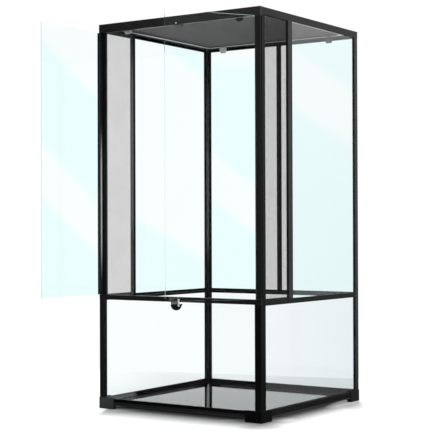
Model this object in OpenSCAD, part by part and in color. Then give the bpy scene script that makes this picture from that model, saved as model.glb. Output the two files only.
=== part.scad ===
// Tall glass terrarium on an angle-section frame, with two swinging glass doors,
// mesh strips in the side walls and a mesh top that lifts out.
// Millimetres. The origin lies on the floor under the middle of the frame,
// +X to the right, +Y to the back and +Z up.

/* [Cabinet] */
// Outer width across the frame
cab_w = 606; // [520:1:720]
// Outer depth across the frame
cab_d = 606; // [520:1:720]
// Overall height from the floor to the top rim
cab_h = 1220; // [1050:1:1400]
// Height of the side middle rails' underside above the floor
mid_z = 342; // [280:1:420]

/* [Frame sections] */
// Width of each leg of the corner angles
leg_w = 20; // [17:0.5:24]
// Wall thickness of the rolled sections
wall_t = 2.4; // [2:0.1:2.8]
// Height of the side and rear top rails
top_rail_h = 22; // [20:0.5:30]
// Height of the front header
header_h = 27; // [24:0.5:34]
// Reach of the top ledge from the outer face
ledge_w = 25; // [24:0.5:27]
// Height of the side and rear middle rails
mid_rail_h = 16; // [14:0.5:20]
// Height of the front middle rail
sill_h = 15; // [13:0.5:18]
// Height of the bottom rails
bottom_rail_h = 21; // [19:0.5:26]
// Width of the upright mullions
mullion_w = 23; // [16:0.5:30]
// Width of the rear wall's centre mullion
rear_bar_w = 18; // [14:0.5:26]
// Depth of the vent strip from the front face to the mullion's centre
vent_d = 172; // [140:1:210]

/* [Feet] */
// Height of each corner foot
foot_h = 36; // [33:1:42]
// Length of each foot along the frame
foot_leg = 58; // [44:1:80]
// Thickness of each foot's wall at the floor
foot_t = 14.4; // [12:0.2:15]
// How far the feet stand out past the frame
foot_out = 1.5; // [1:0.1:3]
// Height of the rails' underside above the floor
rail_z = 12; // [10:0.5:16]

/* [Glass] */
// Thickness of the wall and door panes
glass_t = 4; // [3:0.5:4.5]
// Thickness of the floor pane
floor_t = 5; // [4:0.5:6]
// Thickness of the glazing tape
tape_t = 0.6; // [0.5:0.1:1]

/* [Doors] */
// Opening angle of the left door at rest
left_open = 87.5; // [60:0.5:100]
// Opening angle of the right door at rest
right_open = 57; // [40:0.5:90]
// Thickness of the hinge stile
stile_t = 8.5; // [8:0.1:9.5]
// Width of the hinge stile from the pin to its free edge
stile_w = 14; // [12:0.5:20]
// Radius of the hinge pins
pin_r = 2; // [1.5:0.1:2.2]
// Radial running clearance of pins and spindles
run_c = 0.08; // [0.05:0.01:0.1]
// Gap between the two closed doors
door_gap = 3.5; // [2:0.5:6]

/* [Lock] */
// Distance of the lock spindle from the door's free edge
lock_in = 30.5; // [26:0.5:40]
// Width of the glass clamp
clamp_w = 22; // [18:0.5:26]
// Width of the turn lever
lever_w = 31.5; // [24:0.5:33]
// Length of the lever below the spindle
lever_drop = 29.5; // [26:0.5:31]
// Length of the cam from the spindle
cam_len = 25; // [20:0.5:30]

/* [Top screen] */
// Distance of the screen frame's outer edge from the cabinet's faces
screen_in = 17; // [15:0.5:18]
// Width of the screen frame's bars
screen_bar = 25; // [20:0.5:32]
// Thickness of the screen frame
screen_t = 8; // [7:0.5:10]
// Distance of the clips from the frame's corners
clip_in = 92; // [70:1:140]
// Width of the clip's thumb tab
clip_w = 24; // [20:0.5:30]
// Height of the clip's thumb tab
clip_h = 19; // [14:0.5:24]

/* [Hidden] */
hx = cab_w/2;
hy = cab_d/2;
fit_c = 0.3;
edge = 0.8;
ix = hx - wall_t;
iy = hy - wall_t;
px = ix - tape_t;
py = iy - tape_t;
top_z = cab_h - top_rail_h;
header_z = cab_h - header_h;
header_t = 11;
ledge_z = cab_h - 12;
ledge_t = 2;
mid_top = mid_z + mid_rail_h;
web_z = mid_z + 7;
web_t = 2.4;
sill_top = mid_top + 2.5;
sill_z = sill_top - sill_h;
sill_back = hy - 20;
rail_top = rail_z + bottom_rail_h;
base_z = rail_z + 3;
base_t = 2;
floor_z = base_z + base_t;
tub_z = floor_z + floor_t;
jamb_y = -hy + stile_t + fit_c;
jamb_w = leg_w + 2;
groove_d = 9;
groove_top = 6;
side_leg_y = -hy + leg_w + 6;
key_s = 9.2;
key_x = ix - 0.2 - key_s/2;
key_yr = iy - 0.2 - key_s/2;
key_yf = jamb_y + wall_t + 0.2 + key_s/2;
key_len = 58;
pane_yf = key_yf + key_s/2 + fit_c;
pane_yr = key_yr - key_s/2 - fit_c;
pane_xr = key_x - key_s/2 - fit_c;
mull_y = -hy + vent_d;
mull_web = 2;
pivot_x = hx - stile_t/2;
pivot_y = -hy + stile_t/2;
bush_r = pin_r + 1.5;
bush_len = 6;
pin_seat = 24;
door_z0 = sill_top + 1;
door_z1 = header_z - 0.8;
door_len = pivot_x - door_gap/2;
slot_c = 0.1;
front_pane_y = pivot_y;
lock_x = door_len - lock_in;
lock_z = door_z0 + 5.5;
lock_r = 3;
clamp_x = lock_x + 5.6;
plate_t = 2.2;
lever_y = glass_t/2 + plate_t + 0.4;
lever_t = 5;
lever_top = 11.5;
neck_top = 5.4;
fin_in = 12.7;
cam_y = hy - sill_back - stile_t/2 + 0.7;
cam_t = 2.5;
screen_x = hx - screen_in;
screen_y = hy - screen_in;
screen_z = ledge_z;
clip_dx = hx - clip_in;
clip_dy = hy - screen_in - screen_bar*0.6;
clip_top = ledge_z - ledge_t - 0.5;
clip_r = 3;
$fn = 48;
black = [0.06, 0.06, 0.065];
glass = [0.85, 0.95, 0.96, 0.35];
mesh_grey = [0.3, 0.3, 0.31];
mesh_lap = 3.5;
mesh_rib = 2.4;
mesh_cells = 12;
vent_cells = 3;
steel = [0.7, 0.7, 0.72];

// A section drawn as (y, z) and drawn out along X about the middle
module along_x(len) {
  rotate([90, 0, 90])
    linear_extrude(height=len, center=true)
      children();
}

// A section drawn as (x, z) and drawn out along Y about the middle
module along_y(len) {
  rotate([90, 0, 0])
    linear_extrude(height=len, center=true)
      children();
}

// A block from one corner to the opposite one
module block(a, b) {
  translate([min(a[0], b[0]), min(a[1], b[1]), min(a[2], b[2])])
    cube([abs(b[0] - a[0]), abs(b[1] - a[1]), abs(b[2] - a[2])]);
}

// Front posts: the front leg stands back behind the door stile
module post_front(sx) {
  color(black)
  union() {
    translate([0, 0, rail_top])
      linear_extrude(height=header_z - rail_top)
        polygon([[sx*hx, jamb_y + edge], [sx*(hx - edge), jamb_y],
          [sx*(hx - jamb_w), jamb_y], [sx*(hx - jamb_w), jamb_y + wall_t],
          [sx*ix, jamb_y + wall_t], [sx*ix, side_leg_y], [sx*hx, side_leg_y]]);
    block([sx*ix, -hy + header_t, header_z - edge], [sx*hx, side_leg_y, top_z]);
  }
}

// Rear posts: a plain angle round the corner
module post_rear(sx) {
  color(black)
  translate([0, 0, rail_top])
    linear_extrude(height=top_z - rail_top)
      polygon([[sx*hx, hy - leg_w], [sx*hx, hy - edge], [sx*(hx - edge), hy],
        [sx*(hx - leg_w), hy], [sx*(hx - leg_w), iy], [sx*ix, iy], [sx*ix, hy - leg_w]]);
}

// Channel in front of the post that takes the lower front pane's edge
module jamb_channel(sx) {
  g = glass_t/2 + slot_c;
  color(black)
  translate([0, 0, rail_top])
    linear_extrude(height=sill_z - rail_top)
      polygon([[sx*hx, -hy + edge], [sx*(hx - edge), -hy], [sx*(hx - jamb_w), -hy],
        [sx*(hx - jamb_w), front_pane_y - g], [sx*(hx - jamb_w + groove_d), front_pane_y - g],
        [sx*(hx - jamb_w + groove_d), front_pane_y + g], [sx*(hx - jamb_w), front_pane_y + g],
        [sx*(hx - jamb_w), jamb_y], [sx*hx, jamb_y]]);
}

// Front header with its ledge, hinge bores and the bore of the middle fixing
module header() {
  color(black)
  difference() {
    union() {
      along_x(cab_w)
        polygon([[-hy, header_z], [-hy, cab_h - edge], [-hy + edge, cab_h],
          [-hy + header_t, cab_h], [-hy + header_t, header_z]]);
      block([-ix, -hy + header_t/2, ledge_z - ledge_t], [ix, -hy + ledge_w, ledge_z]);
    }
    for (sx = [-1, 1])
      translate([sx*pivot_x, pivot_y, header_z - 1])
        cylinder(r=bush_r, h=bush_len + 1);
    for (sx = [-1, 1])
      translate([sx*key_x, key_yf - 1.6, ledge_z - ledge_t - 1])
        cylinder(r=1.6, h=ledge_t + 2);
    translate([0, -hy - 1, header_z + 5])
      rotate([-90, 0, 0])
        cylinder(r=1.5, h=header_t + 2);
  }
}

// Side top rails: upright wall and the ledge that carries the screen
module top_rail_side(sx) {
  color(black)
  union() {
    translate([0, header_t/2, 0])
      along_y(cab_d - header_t)
        polygon([[sx*ix, top_z], [sx*hx, top_z], [sx*hx, cab_h - edge],
          [sx*(hx - edge), cab_h], [sx*ix, cab_h]]);
    block([sx*(hx - ledge_w), -hy + ledge_w, ledge_z - ledge_t],
      [sx*(hx - wall_t/2), hy - ledge_w, ledge_z]);
  }
}

// Rear top rail in one angle section, with the bores of the corner screws
module top_rail_rear() {
  color(black)
  difference() {
    along_x(2*ix)
      polygon([[iy, top_z], [hy, top_z], [hy, cab_h - edge], [hy - edge, cab_h], [iy, cab_h],
        [iy, ledge_z], [hy - ledge_w, ledge_z], [hy - ledge_w, ledge_z - ledge_t],
        [iy, ledge_z - ledge_t]]);
    for (sx = [-1, 1])
      translate([sx*key_x, key_yr, ledge_z - ledge_t - 1])
        cylinder(r=1.6, h=ledge_t + 2);
  }
}

// Front middle rail: door sill above, groove for the lower pane below
module sill_rail() {
  g = glass_t/2 + slot_c;
  color(black)
  difference() {
    union() {
      along_x(cab_w)
        polygon([[-hy, sill_z + edge], [-hy, sill_top - edge], [-hy + edge, sill_top],
          [jamb_y, sill_top], [jamb_y, sill_z], [-hy + edge, sill_z]]);
      block([-(hx - jamb_w - 0.2), jamb_y - wall_t/2, sill_z],
        [hx - jamb_w - 0.2, -sill_back, sill_top]);
    }
    block([-(hx - jamb_w + groove_d), front_pane_y - g, sill_z - 1],
      [hx - jamb_w + groove_d, front_pane_y + g, sill_z + groove_top]);
    for (sx = [-1, 1])
      translate([sx*pivot_x, pivot_y, sill_top - bush_len])
        cylinder(r=bush_r, h=bush_len + 1);
  }
}

// Side middle rails: wall between the posts and the web that parts the panes
module mid_rail_side(sx) {
  y0 = side_leg_y;
  y1 = hy - leg_w;
  color(black)
  translate([0, (y0 + y1)/2, 0])
    along_y(y1 - y0)
      polygon([[sx*ix, mid_z], [sx*(hx - edge), mid_z], [sx*hx, mid_z + edge],
        [sx*hx, mid_top - edge], [sx*(hx - edge), mid_top], [sx*ix, mid_top],
        [sx*ix, web_z + web_t], [sx*(hx - leg_w), web_z + web_t], [sx*(hx - leg_w), web_z],
        [sx*ix, web_z]]);
}

// Rear middle rail
module mid_rail_rear() {
  color(black)
  along_x(2*(hx - leg_w))
    polygon([[iy, mid_z], [hy - edge, mid_z], [hy, mid_z + edge], [hy, mid_top - edge],
      [hy - edge, mid_top], [iy, mid_top], [iy, web_z + web_t], [hy - leg_w, web_z + web_t],
      [hy - leg_w, web_z], [iy, web_z]]);
}

// Screw bore through a bottom rail's base
module base_bores(y) {
  for (sx = [-1, 1])
    translate([sx*key_x, y, base_z - 1])
      cylinder(r=1.7, h=base_t + 2);
}

// Front bottom rail: a channel for the lower pane and the floor's front ledge
module bottom_rail_front() {
  g = glass_t/2 + slot_c;
  color(black)
  difference() {
    union() {
      along_x(cab_w)
        polygon([[-hy, rail_z], [-hy, rail_top - edge], [-hy + edge, rail_top],
          [front_pane_y - g, rail_top], [front_pane_y - g, floor_z], [front_pane_y + g, floor_z],
          [front_pane_y + g, rail_top], [jamb_y, rail_top], [jamb_y, base_z],
          [front_pane_y - g, base_z], [front_pane_y - g, rail_z]]);
      block([-ix, jamb_y - 0.01, base_z], [ix, -hy + leg_w, floor_z]);
    }
    base_bores(key_yf);
  }
}

// Side bottom rails: wall, and the base that carries the floor pane
module bottom_rail_side(sx) {
  color(black)
  union() {
    block([sx*ix, jamb_y, rail_z], [sx*hx, hy, rail_top]);
    block([sx*(hx - leg_w), -hy + leg_w, base_z], [sx*(hx - wall_t/2), hy - leg_w, floor_z]);
  }
}

// Rear bottom rail
module bottom_rail_rear() {
  color(black)
  difference() {
    along_x(2*ix)
      polygon([[iy, rail_z], [hy, rail_z], [hy, rail_top], [iy, rail_top], [iy, floor_z],
        [hy - leg_w, floor_z], [hy - leg_w, base_z], [iy, base_z]]);
    base_bores(key_yr);
  }
}

// Corner foot: a moulded angle under the rails with a skirt that wraps the corner
module foot(sx, sy) {
  ox = hx + foot_out;
  oy = hy + foot_out;
  ky = sy < 0 ? -key_yf : key_yr;
  r = 1.2;
  color(black)
  difference() {
    union() {
      linear_extrude(height=rail_z)
        polygon([[sx*ox, sy*(oy - foot_leg)], [sx*ox, sy*(oy - r)], [sx*(ox - r), sy*oy],
          [sx*(ox - foot_leg), sy*oy], [sx*(ox - foot_leg), sy*(oy - foot_t)],
          [sx*(ox - foot_t), sy*(oy - foot_t)], [sx*(ox - foot_t), sy*(oy - foot_leg)]]);
      linear_extrude(height=foot_h)
        polygon([[sx*ox, sy*(oy - foot_leg)], [sx*ox, sy*(oy - r)], [sx*(ox - r), sy*oy],
          [sx*(ox - foot_leg), sy*oy], [sx*(ox - foot_leg), sy*hy], [sx*hx, sy*hy],
          [sx*hx, sy*(oy - foot_leg)]]);
      block([sx*(key_x + key_s/2), sy*(ky + key_s/2), 0], [sx*(key_x - 8), sy*(ky - 8), base_z]);
    }
    translate([sx*key_x, sy*ky, -1])
      cylinder(r=1.7, h=base_z + 2);
    translate([sx*key_x, sy*ky, -1])
      cylinder(r=4.5, h=6);
  }
}

// Side mullion: outer flange and the web between the vent frame and the pane
module mullion_side(sx) {
  color(black)
  union() {
    block([sx*ix, mull_y - mullion_w/2, mid_top], [sx*hx, mull_y + mullion_w/2, top_z]);
    block([sx*(px - glass_t - 4), mull_y - mull_web/2, web_z + web_t],
      [sx*ix, mull_y + mull_web/2, ledge_z - ledge_t - 0.2]);
  }
}

// Rear mullion between the two upper panes
module mullion_rear() {
  color(black)
  union() {
    block([-rear_bar_w/2, iy, mid_top], [rear_bar_w/2, hy, top_z]);
    block([-mull_web/2, py - glass_t - 4, web_z + web_t],
      [mull_web/2, iy, ledge_z - ledge_t - 0.2]);
  }
}

// One corner key with a screw bore from its end
module key(x, y, z, up) {
  translate([x, y, z])
    difference() {
      translate([-key_s/2, -key_s/2, 0])
        cube([key_s, key_s, key_len]);
      translate([0, (up && y < 0) ? -1.6 : 0, up ? key_len - 22 : -1])
        cylinder(r=1.6, h=23);
    }
}

// Keys inside the posts, four at the bottom and four at the top
module corner_keys() {
  color(black)
  for (sx = [-1, 1], y = [key_yf, key_yr]) {
    key(sx*key_x, y, floor_z, false);
    key(sx*key_x, y, ledge_z - ledge_t - key_len, true);
  }
}

// Pan screws: up through each foot, down through the top ledge, and one in the header
module frame_screws() {
  color(steel)
  union() {
    for (sx = [-1, 1], y = [key_yf, key_yr]) {
      translate([sx*key_x, y, 2])
        cylinder(r=4, h=3);
      translate([sx*key_x, y, 4.9])
        cylinder(r=1.55, h=floor_z + 16 - 4.9);
    }
    for (sx = [-1, 1], y = [key_yf - 1.6, key_yr]) {
      translate([sx*key_x, y, ledge_z])
        cylinder(r=2.2, h=1.6);
      translate([sx*key_x, y, ledge_z - ledge_t - 16])
        cylinder(r=1.55, h=ledge_t + 16.1);
    }
    translate([0, -hy - 1, header_z + 5])
      rotate([-90, 0, 0])
        cylinder(r=2.4, h=1);
    translate([0, -hy - 0.1, header_z + 5])
      rotate([-90, 0, 0])
        cylinder(r=1.45, h=header_t);
  }
}

// Floor pane with its corners cut out round the keys
module floor_pane() {
  n = key_s + 0.8;
  color(glass)
  difference() {
    block([-px, jamb_y + fit_c, floor_z], [px, py, tub_z]);
    for (sx = [-1, 1]) {
      block([sx*(px + 1), jamb_y - 1, floor_z - 1],
        [sx*(key_x - key_s/2 - fit_c), pane_yf, tub_z + 1]);
      block([sx*(px + 1), py + 1, floor_z - 1], [sx*(key_x - key_s/2 - fit_c), pane_yr, tub_z + 1]);
    }
  }
}

// Lower front pane in its groove
module lower_pane_front() {
  color(glass)
  block([-(hx - jamb_w + groove_d - 1), front_pane_y - glass_t/2, floor_z],
    [hx - jamb_w + groove_d - 1, front_pane_y + glass_t/2, sill_z + groove_top - 1]);
}

// Lower side pane standing on the floor pane
module lower_pane_side(sx) {
  color(glass)
  block([sx*px, pane_yf, tub_z], [sx*(px - glass_t), pane_yr, web_z - fit_c]);
}

// Lower rear pane
module lower_pane_rear() {
  color(glass)
  block([-pane_xr, py - glass_t, tub_z], [pane_xr, py, web_z - fit_c]);
}

// Upper side pane behind the mullion
module upper_pane_side(sx) {
  color(glass)
  block([sx*px, mull_y + mull_web/2 + fit_c, web_z + web_t],
    [sx*(px - glass_t), pane_yr, ledge_z - ledge_t - fit_c]);
}

// One of the two upper rear panes
module upper_pane_rear(sx) {
  color(glass)
  block([sx*(mull_web/2 + fit_c), py - glass_t, web_z + web_t],
    [sx*pane_xr, py, ledge_z - ledge_t - fit_c]);
}

// Tape strips between the panes and the sections they lie against
module glazing_tape() {
  t = tape_t;
  zu = web_z + web_t;
  zt = ledge_z - ledge_t - fit_c;
  color([0.12, 0.12, 0.12])
  union() {
    for (sx = [-1, 1]) {
      block([sx*px, hy - leg_w, rail_top], [sx*ix, pane_yr, mid_z]);
      block([sx*px, hy - leg_w, mid_top], [sx*ix, pane_yr, top_z]);
      block([sx*px, pane_yf, tub_z], [sx*ix, pane_yr, rail_top]);
      block([sx*px, pane_yf, rail_top], [sx*ix, side_leg_y, web_z - fit_c]);
      block([sx*px, side_leg_y + fit_c, mid_z], [sx*ix, pane_yr, web_z - fit_c]);
      block([sx*px, mull_y + mull_web/2 + fit_c, zu], [sx*ix, pane_yr, mid_top]);
      block([sx*px, mull_y + mull_web/2 + fit_c, top_z], [sx*ix, pane_yr, zt]);
      block([sx*px, mull_y + mull_web/2 + fit_c, mid_top], [sx*ix, mull_y + mullion_w/2, top_z]);
    }
    block([-pane_xr, iy, tub_z], [pane_xr, py, rail_top]);
    block([-pane_xr, iy, mid_z], [pane_xr, py, web_z - fit_c]);
    for (sx = [-1, 1]) {
      block([sx*(hx - leg_w), iy, rail_top], [sx*pane_xr, py, mid_z]);
      block([sx*(mull_web/2 + fit_c), iy, zu], [sx*pane_xr, py, mid_top]);
      block([sx*(mull_web/2 + fit_c), iy, top_z], [sx*pane_xr, py, zt]);
      block([sx*(hx - leg_w), iy, mid_top], [sx*pane_xr, py, top_z]);
      block([sx*(mull_web/2 + fit_c), iy, mid_top], [sx*rear_bar_w/2, py, top_z]);
    }
  }
}

// Vent frame: mitred bars with a groove that holds the mesh
module vent_frame(sx) {
  y0 = pane_yf;
  y1 = mull_y - mull_web/2 - fit_c;
  z0 = web_z + web_t;
  z1 = ledge_z - ledge_t - fit_c;
  b = 10.5;
  x0 = ix - 0.2;
  color(black)
  difference() {
    block([sx*x0, y0, z0], [sx*(x0 - 6), y1, z1]);
    block([sx*(x0 + 1), y0 + b, z0 + b], [sx*(x0 - 7), y1 - b, z1 - b]);
    block([sx*(x0 - 2.4), y0 + b - 4, z0 + b - 4], [sx*(x0 - 3.6), y1 - b + 4, z1 - b + 4]);
  }
}

// Vent mesh lying in its frame's groove: a sheet with a plain grid of openings
module vent_mesh(sx) {
  y0 = pane_yf + 10.5 - 3.5;
  y1 = mull_y - mull_web/2 - fit_c - 10.5 + 3.5;
  z0 = web_z + web_t + 10.5 - 3.5;
  z1 = ledge_z - ledge_t - fit_c - 10.5 + 3.5;
  x0 = ix - 0.2;
  step_y = (y1 - y0 - 2*mesh_lap + mesh_rib)/vent_cells;
  step_z = (z1 - z0 - 2*mesh_lap + mesh_rib)/mesh_cells;
  color(mesh_grey)
  difference() {
    block([sx*(x0 - 2.6), y0, z0], [sx*(x0 - 3.4), y1, z1]);
    for (i = [0:vent_cells - 1], j = [0:mesh_cells - 1])
      translate([0, y0 + mesh_lap + i*step_y, z0 + mesh_lap + j*step_z])
        block([sx*(x0 - 2), 0, 0], [sx*(x0 - 4), step_y - mesh_rib, step_z - mesh_rib]);
  }
}

// Nylon bushes of the hinge pins, two in the header and two in the sill
module hinge_bushes() {
  color([0.2, 0.2, 0.2])
  for (sx = [-1, 1]) {
    translate([sx*pivot_x, pivot_y, header_z - 0.4])
      difference() {
        cylinder(r=bush_r - 0.02, h=bush_len + 0.4);
        translate([0, 0, -1])
          cylinder(r=pin_r + run_c, h=bush_len + 3);
      }
    translate([sx*pivot_x, pivot_y, sill_top - bush_len])
      difference() {
        cylinder(r=bush_r - 0.02, h=bush_len + 0.7);
        translate([0, 0, -1])
          cylinder(r=pin_r + run_c, h=bush_len + 3);
      }
  }
}

// Stop behind the closed doors under the middle of the header
module door_stop() {
  color(black)
  union() {
    block([-14, pivot_y + glass_t/2 + 0.4, header_z - 10], [14, -hy + header_t + 7, header_z]);
    block([-14, -hy + header_t, header_z], [14, -hy + header_t + 7, header_z + 9]);
  }
}

// Pane of a door, drawn from its pin towards the free edge; the right one is notched for the lock
module door_glass(sx) {
  color(glass)
  difference() {
    block([sx*(pin_r + 3.2), -glass_t/2, door_z0 + 1], [sx*door_len, glass_t/2, door_z1 - 0.7]);
    if (sx < 0)
      translate([-lock_x, 0, lock_z])
        rotate([90, 0, 0])
          cylinder(r=lock_r + 1, h=glass_t + 2, center=true);
    if (sx < 0)
      block([-lock_x - lock_r - 1, -glass_t, door_z0], [-lock_x + lock_r + 1, glass_t, lock_z]);
  }
}

// Hinge stile: round about the pin, with a groove for the pane
module door_stile(sx) {
  g = glass_t/2 + slot_c;
  color(black)
  difference() {
    union() {
      translate([0, 0, door_z0])
        cylinder(r=stile_t/2, h=door_z1 - door_z0, $fn=64);
      block([0, -stile_t/2, door_z0], [sx*stile_w, stile_t/2, door_z1]);
    }
    block([sx*(pin_r + 3), -g, door_z0 - 1], [sx*(stile_w + 1), g, door_z1 + 1]);
    for (z = [door_z0 - 1, door_z1 - pin_seat])
      translate([0, 0, z])
        cylinder(r=pin_r + 0.02, h=pin_seat + 1);
  }
}

// Pins at both ends of the stile
module door_pins() {
  color(steel)
  union() {
    translate([0, 0, door_z0 - bush_len - 0.2])
      cylinder(r=pin_r, h=bush_len + pin_seat);
    translate([0, 0, door_z1 - pin_seat])
      cylinder(r=pin_r, h=pin_seat + bush_len);
  }
}

// Places a left door piece at its resting angle
module left_door() {
  translate([-pivot_x, pivot_y, 0])
    rotate([0, 0, -left_open])
      children();
}

// Places a right door piece at its resting angle
module right_door() {
  translate([pivot_x, pivot_y, 0])
    rotate([0, 0, right_open])
      children();
}

// Clamp that grips the pane's lower edge, with the lock's bore
module lock_clamp() {
  g = glass_t/2;
  x0 = -clamp_x - clamp_w/2;
  z1 = lock_z + 5.5;
  color([0.45, 0.45, 0.46])
  difference() {
    union() {
      block([x0, -g - plate_t, door_z0 + 0.1], [x0 + clamp_w, -g, z1]);
      block([x0, g, door_z0 + 0.1], [x0 + clamp_w, g + plate_t, z1]);
      block([x0, -g - 0.1, door_z0 + 0.1], [x0 + clamp_w, g + 0.1, door_z0 + 1]);
    }
    translate([-lock_x, 0, lock_z])
      rotate([90, 0, 0])
        cylinder(r=lock_r + run_c, h=20, center=true);
  }
}

// Spindle through the pane with the cam on its inner end
module lock_spindle() {
  y1 = cam_y + cam_t;
  color(steel)
  translate([-lock_x, 0, lock_z])
    difference() {
      union() {
        translate([0, -lever_y - lever_t, 0])
          rotate([-90, 0, 0])
            cylinder(r=lock_r, h=lever_y + lever_t + y1);
        translate([0, cam_y, 0])
          rotate([-90, 0, 0])
            cylinder(r=4.2, h=cam_t);
        block([0, cam_y, -4], [cam_len, y1, 4]);
      }
      translate([cam_len - 4, cam_y - 1, 4])
        rotate([-90, 0, 0])
          cylinder(r=2.4, h=cam_t + 2);
    }
}

// Outline of the turn lever: a round-ended tongue, flat on top, with its broad neck and its hub
module lever_outline() {
  w = lever_w/2;
  union() {
    intersection() {
      union() {
        translate([0, w - lever_drop])
          circle(r=w, $fn=64);
        translate([-w, w - lever_drop])
          square([2*w, lever_drop]);
      }
      translate([-w, -lever_drop])
        square([2*w, lever_drop - lever_top]);
    }
    translate([-lock_r - 1.5, -lever_top - 1])
      square([2*lock_r + 3, lever_top + 1]);
    translate([-w + 0.5, -lever_top - 1])
      square([w + neck_top, lever_top - neck_top + 1]);
    translate([w - 1, -lever_top - 3.5])
      square([3, 3.5]);
    circle(r=lock_r + 1.5);
  }
}

// Turn lever: hangs from the spindle over the sill rail, with a small stop nub at its side
module lock_lever() {
  color(black)
  translate([-lock_x, -lever_y, lock_z])
    rotate([90, 0, 0])
      difference() {
        linear_extrude(height=lever_t)
          lever_outline();
        translate([0, 0, -1])
          cylinder(r=lock_r + 0.02, h=lever_t + 2);
      }
}

// Bright thumb fin on the lever
module lock_fin() {
  x0 = lever_w/2 - fin_in;
  color([0.8, 0.8, 0.82])
  translate([-lock_x, -lever_y - lever_t, lock_z])
    block([x0, -6, -lever_drop + 11], [x0 + 3.6, 0, 3]);
}

// Screen frame: four bars with a mesh groove below, a spline groove above and clip bores
module screen_frame() {
  x = screen_x;
  y = screen_y;
  b = screen_bar;
  z = screen_z;
  color([0.75, 0.75, 0.76])
  difference() {
    block([-x, -y, z], [x, y, z + screen_t]);
    block([-x + b, -y + b, z - 1], [x - b, y - b, z + screen_t + 1]);
    block([-x + b - 4, -y + b - 4, z + 2], [x - b + 4, y - b + 4, z + 3.2]);
    difference() {
      block([-x + b - 7, -y + b - 7, z + 5], [x - b + 7, y - b + 7, z + screen_t + 1]);
      block([-x + b - 4, -y + b - 4, z + 4], [x - b + 4, y - b + 4, z + screen_t + 2]);
    }
    for (sx = [-1, 1], sy = [-1, 1])
      translate([sx*clip_dx, sy*clip_dy, z - 1])
        cylinder(r=clip_r + run_c, h=screen_t + 2);
  }
}

// Mesh held in the screen frame: a sheet with a plain grid of openings
module screen_mesh() {
  x = screen_x - screen_bar + 3.5;
  y = screen_y - screen_bar + 3.5;
  step_x = (2*x - 2*mesh_lap + mesh_rib)/mesh_cells;
  step_y = (2*y - 2*mesh_lap + mesh_rib)/mesh_cells;
  color(mesh_grey)
  difference() {
    block([-x, -y, screen_z + 2.2], [x, y, screen_z + 3]);
    for (i = [0:mesh_cells - 1], j = [0:mesh_cells - 1])
      translate([mesh_lap - x + i*step_x, mesh_lap - y + j*step_y, screen_z + 1])
        cube([step_x - mesh_rib, step_y - mesh_rib, 3]);
  }
}

// Spline pressed into the frame's upper groove
module screen_spline() {
  x = screen_x - screen_bar;
  y = screen_y - screen_bar;
  z = screen_z + 5;
  color([0.1, 0.1, 0.1])
  difference() {
    block([-x - 6.9, -y - 6.9, z], [x + 6.9, y + 6.9, z + 2.4]);
    block([-x - 4.1, -y - 4.1, z - 1], [x + 4.1, y + 4.1, z + 4]);
  }
}

// Turn clip: tab below the ledge, collar, spindle through the frame and its head
module clip(sx, sy) {
  t = 8;
  color([0.55, 0.55, 0.56])
  translate([sx*clip_dx, sy*clip_dy, 0])
    union() {
      block([-clip_w/2, -t/2, clip_top - clip_h + 4], [clip_w/2, t/2, clip_top]);
      block([-clip_w/2 + 3, -t/2 + 1.5, clip_top - clip_h], [clip_w/2 - 3, t/2 - 1.5, clip_top]);
      translate([0, 0, clip_top - 1])
        cylinder(r=clip_r, h=screen_t + ledge_t + 2);
      translate([0, 0, screen_z + screen_t + 0.3])
        cylinder(r=5.5, h=1.4);
    }
}

post_front(-1);  // post_front_left
post_front(1);  // post_front_right
post_rear(-1);  // post_rear_left
post_rear(1);  // post_rear_right
jamb_channel(-1);  // jamb_channel_left
jamb_channel(1);  // jamb_channel_right
header();
top_rail_side(-1);  // top_rail_left
top_rail_side(1);  // top_rail_right
top_rail_rear();
sill_rail();
mid_rail_side(-1);  // mid_rail_left
mid_rail_side(1);  // mid_rail_right
mid_rail_rear();
bottom_rail_front();
bottom_rail_side(-1);  // bottom_rail_left
bottom_rail_side(1);  // bottom_rail_right
bottom_rail_rear();
foot(-1, -1);  // foot_front_left
foot(1, -1);  // foot_front_right
foot(-1, 1);  // foot_rear_left
foot(1, 1);  // foot_rear_right
mullion_side(-1);  // mullion_left
mullion_side(1);  // mullion_right
mullion_rear();
corner_keys();
frame_screws();
floor_pane();
lower_pane_front();
lower_pane_side(-1);  // lower_pane_left
lower_pane_side(1);  // lower_pane_right
lower_pane_rear();
upper_pane_side(-1);  // upper_pane_left
upper_pane_side(1);  // upper_pane_right
upper_pane_rear(-1);  // upper_pane_rear_left
upper_pane_rear(1);  // upper_pane_rear_right
glazing_tape();
vent_frame(-1);  // vent_frame_left
vent_frame(1);  // vent_frame_right
vent_mesh(-1);  // vent_mesh_left
vent_mesh(1);  // vent_mesh_right
hinge_bushes();
door_stop();
left_door() door_glass(1);  // left_door_glass
left_door() door_stile(1);  // left_door_stile
left_door() door_pins();  // left_door_pins
right_door() door_glass(-1);  // right_door_glass
right_door() door_stile(-1);  // right_door_stile
right_door() door_pins();  // right_door_pins
right_door() lock_clamp();
right_door() lock_spindle();
right_door() lock_lever();
right_door() lock_fin();
screen_frame();
screen_mesh();
screen_spline();
clip(-1, -1);  // clip_front_left
clip(1, -1);  // clip_front_right
clip(-1, 1);  // clip_rear_left
clip(1, 1);  // clip_rear_right
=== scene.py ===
"""Looks of the tall glass terrarium cabinet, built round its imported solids.

Metres, +Z up, the front faces -Y. The sections follow the cabinet as it is put together.
"""

import math

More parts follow.
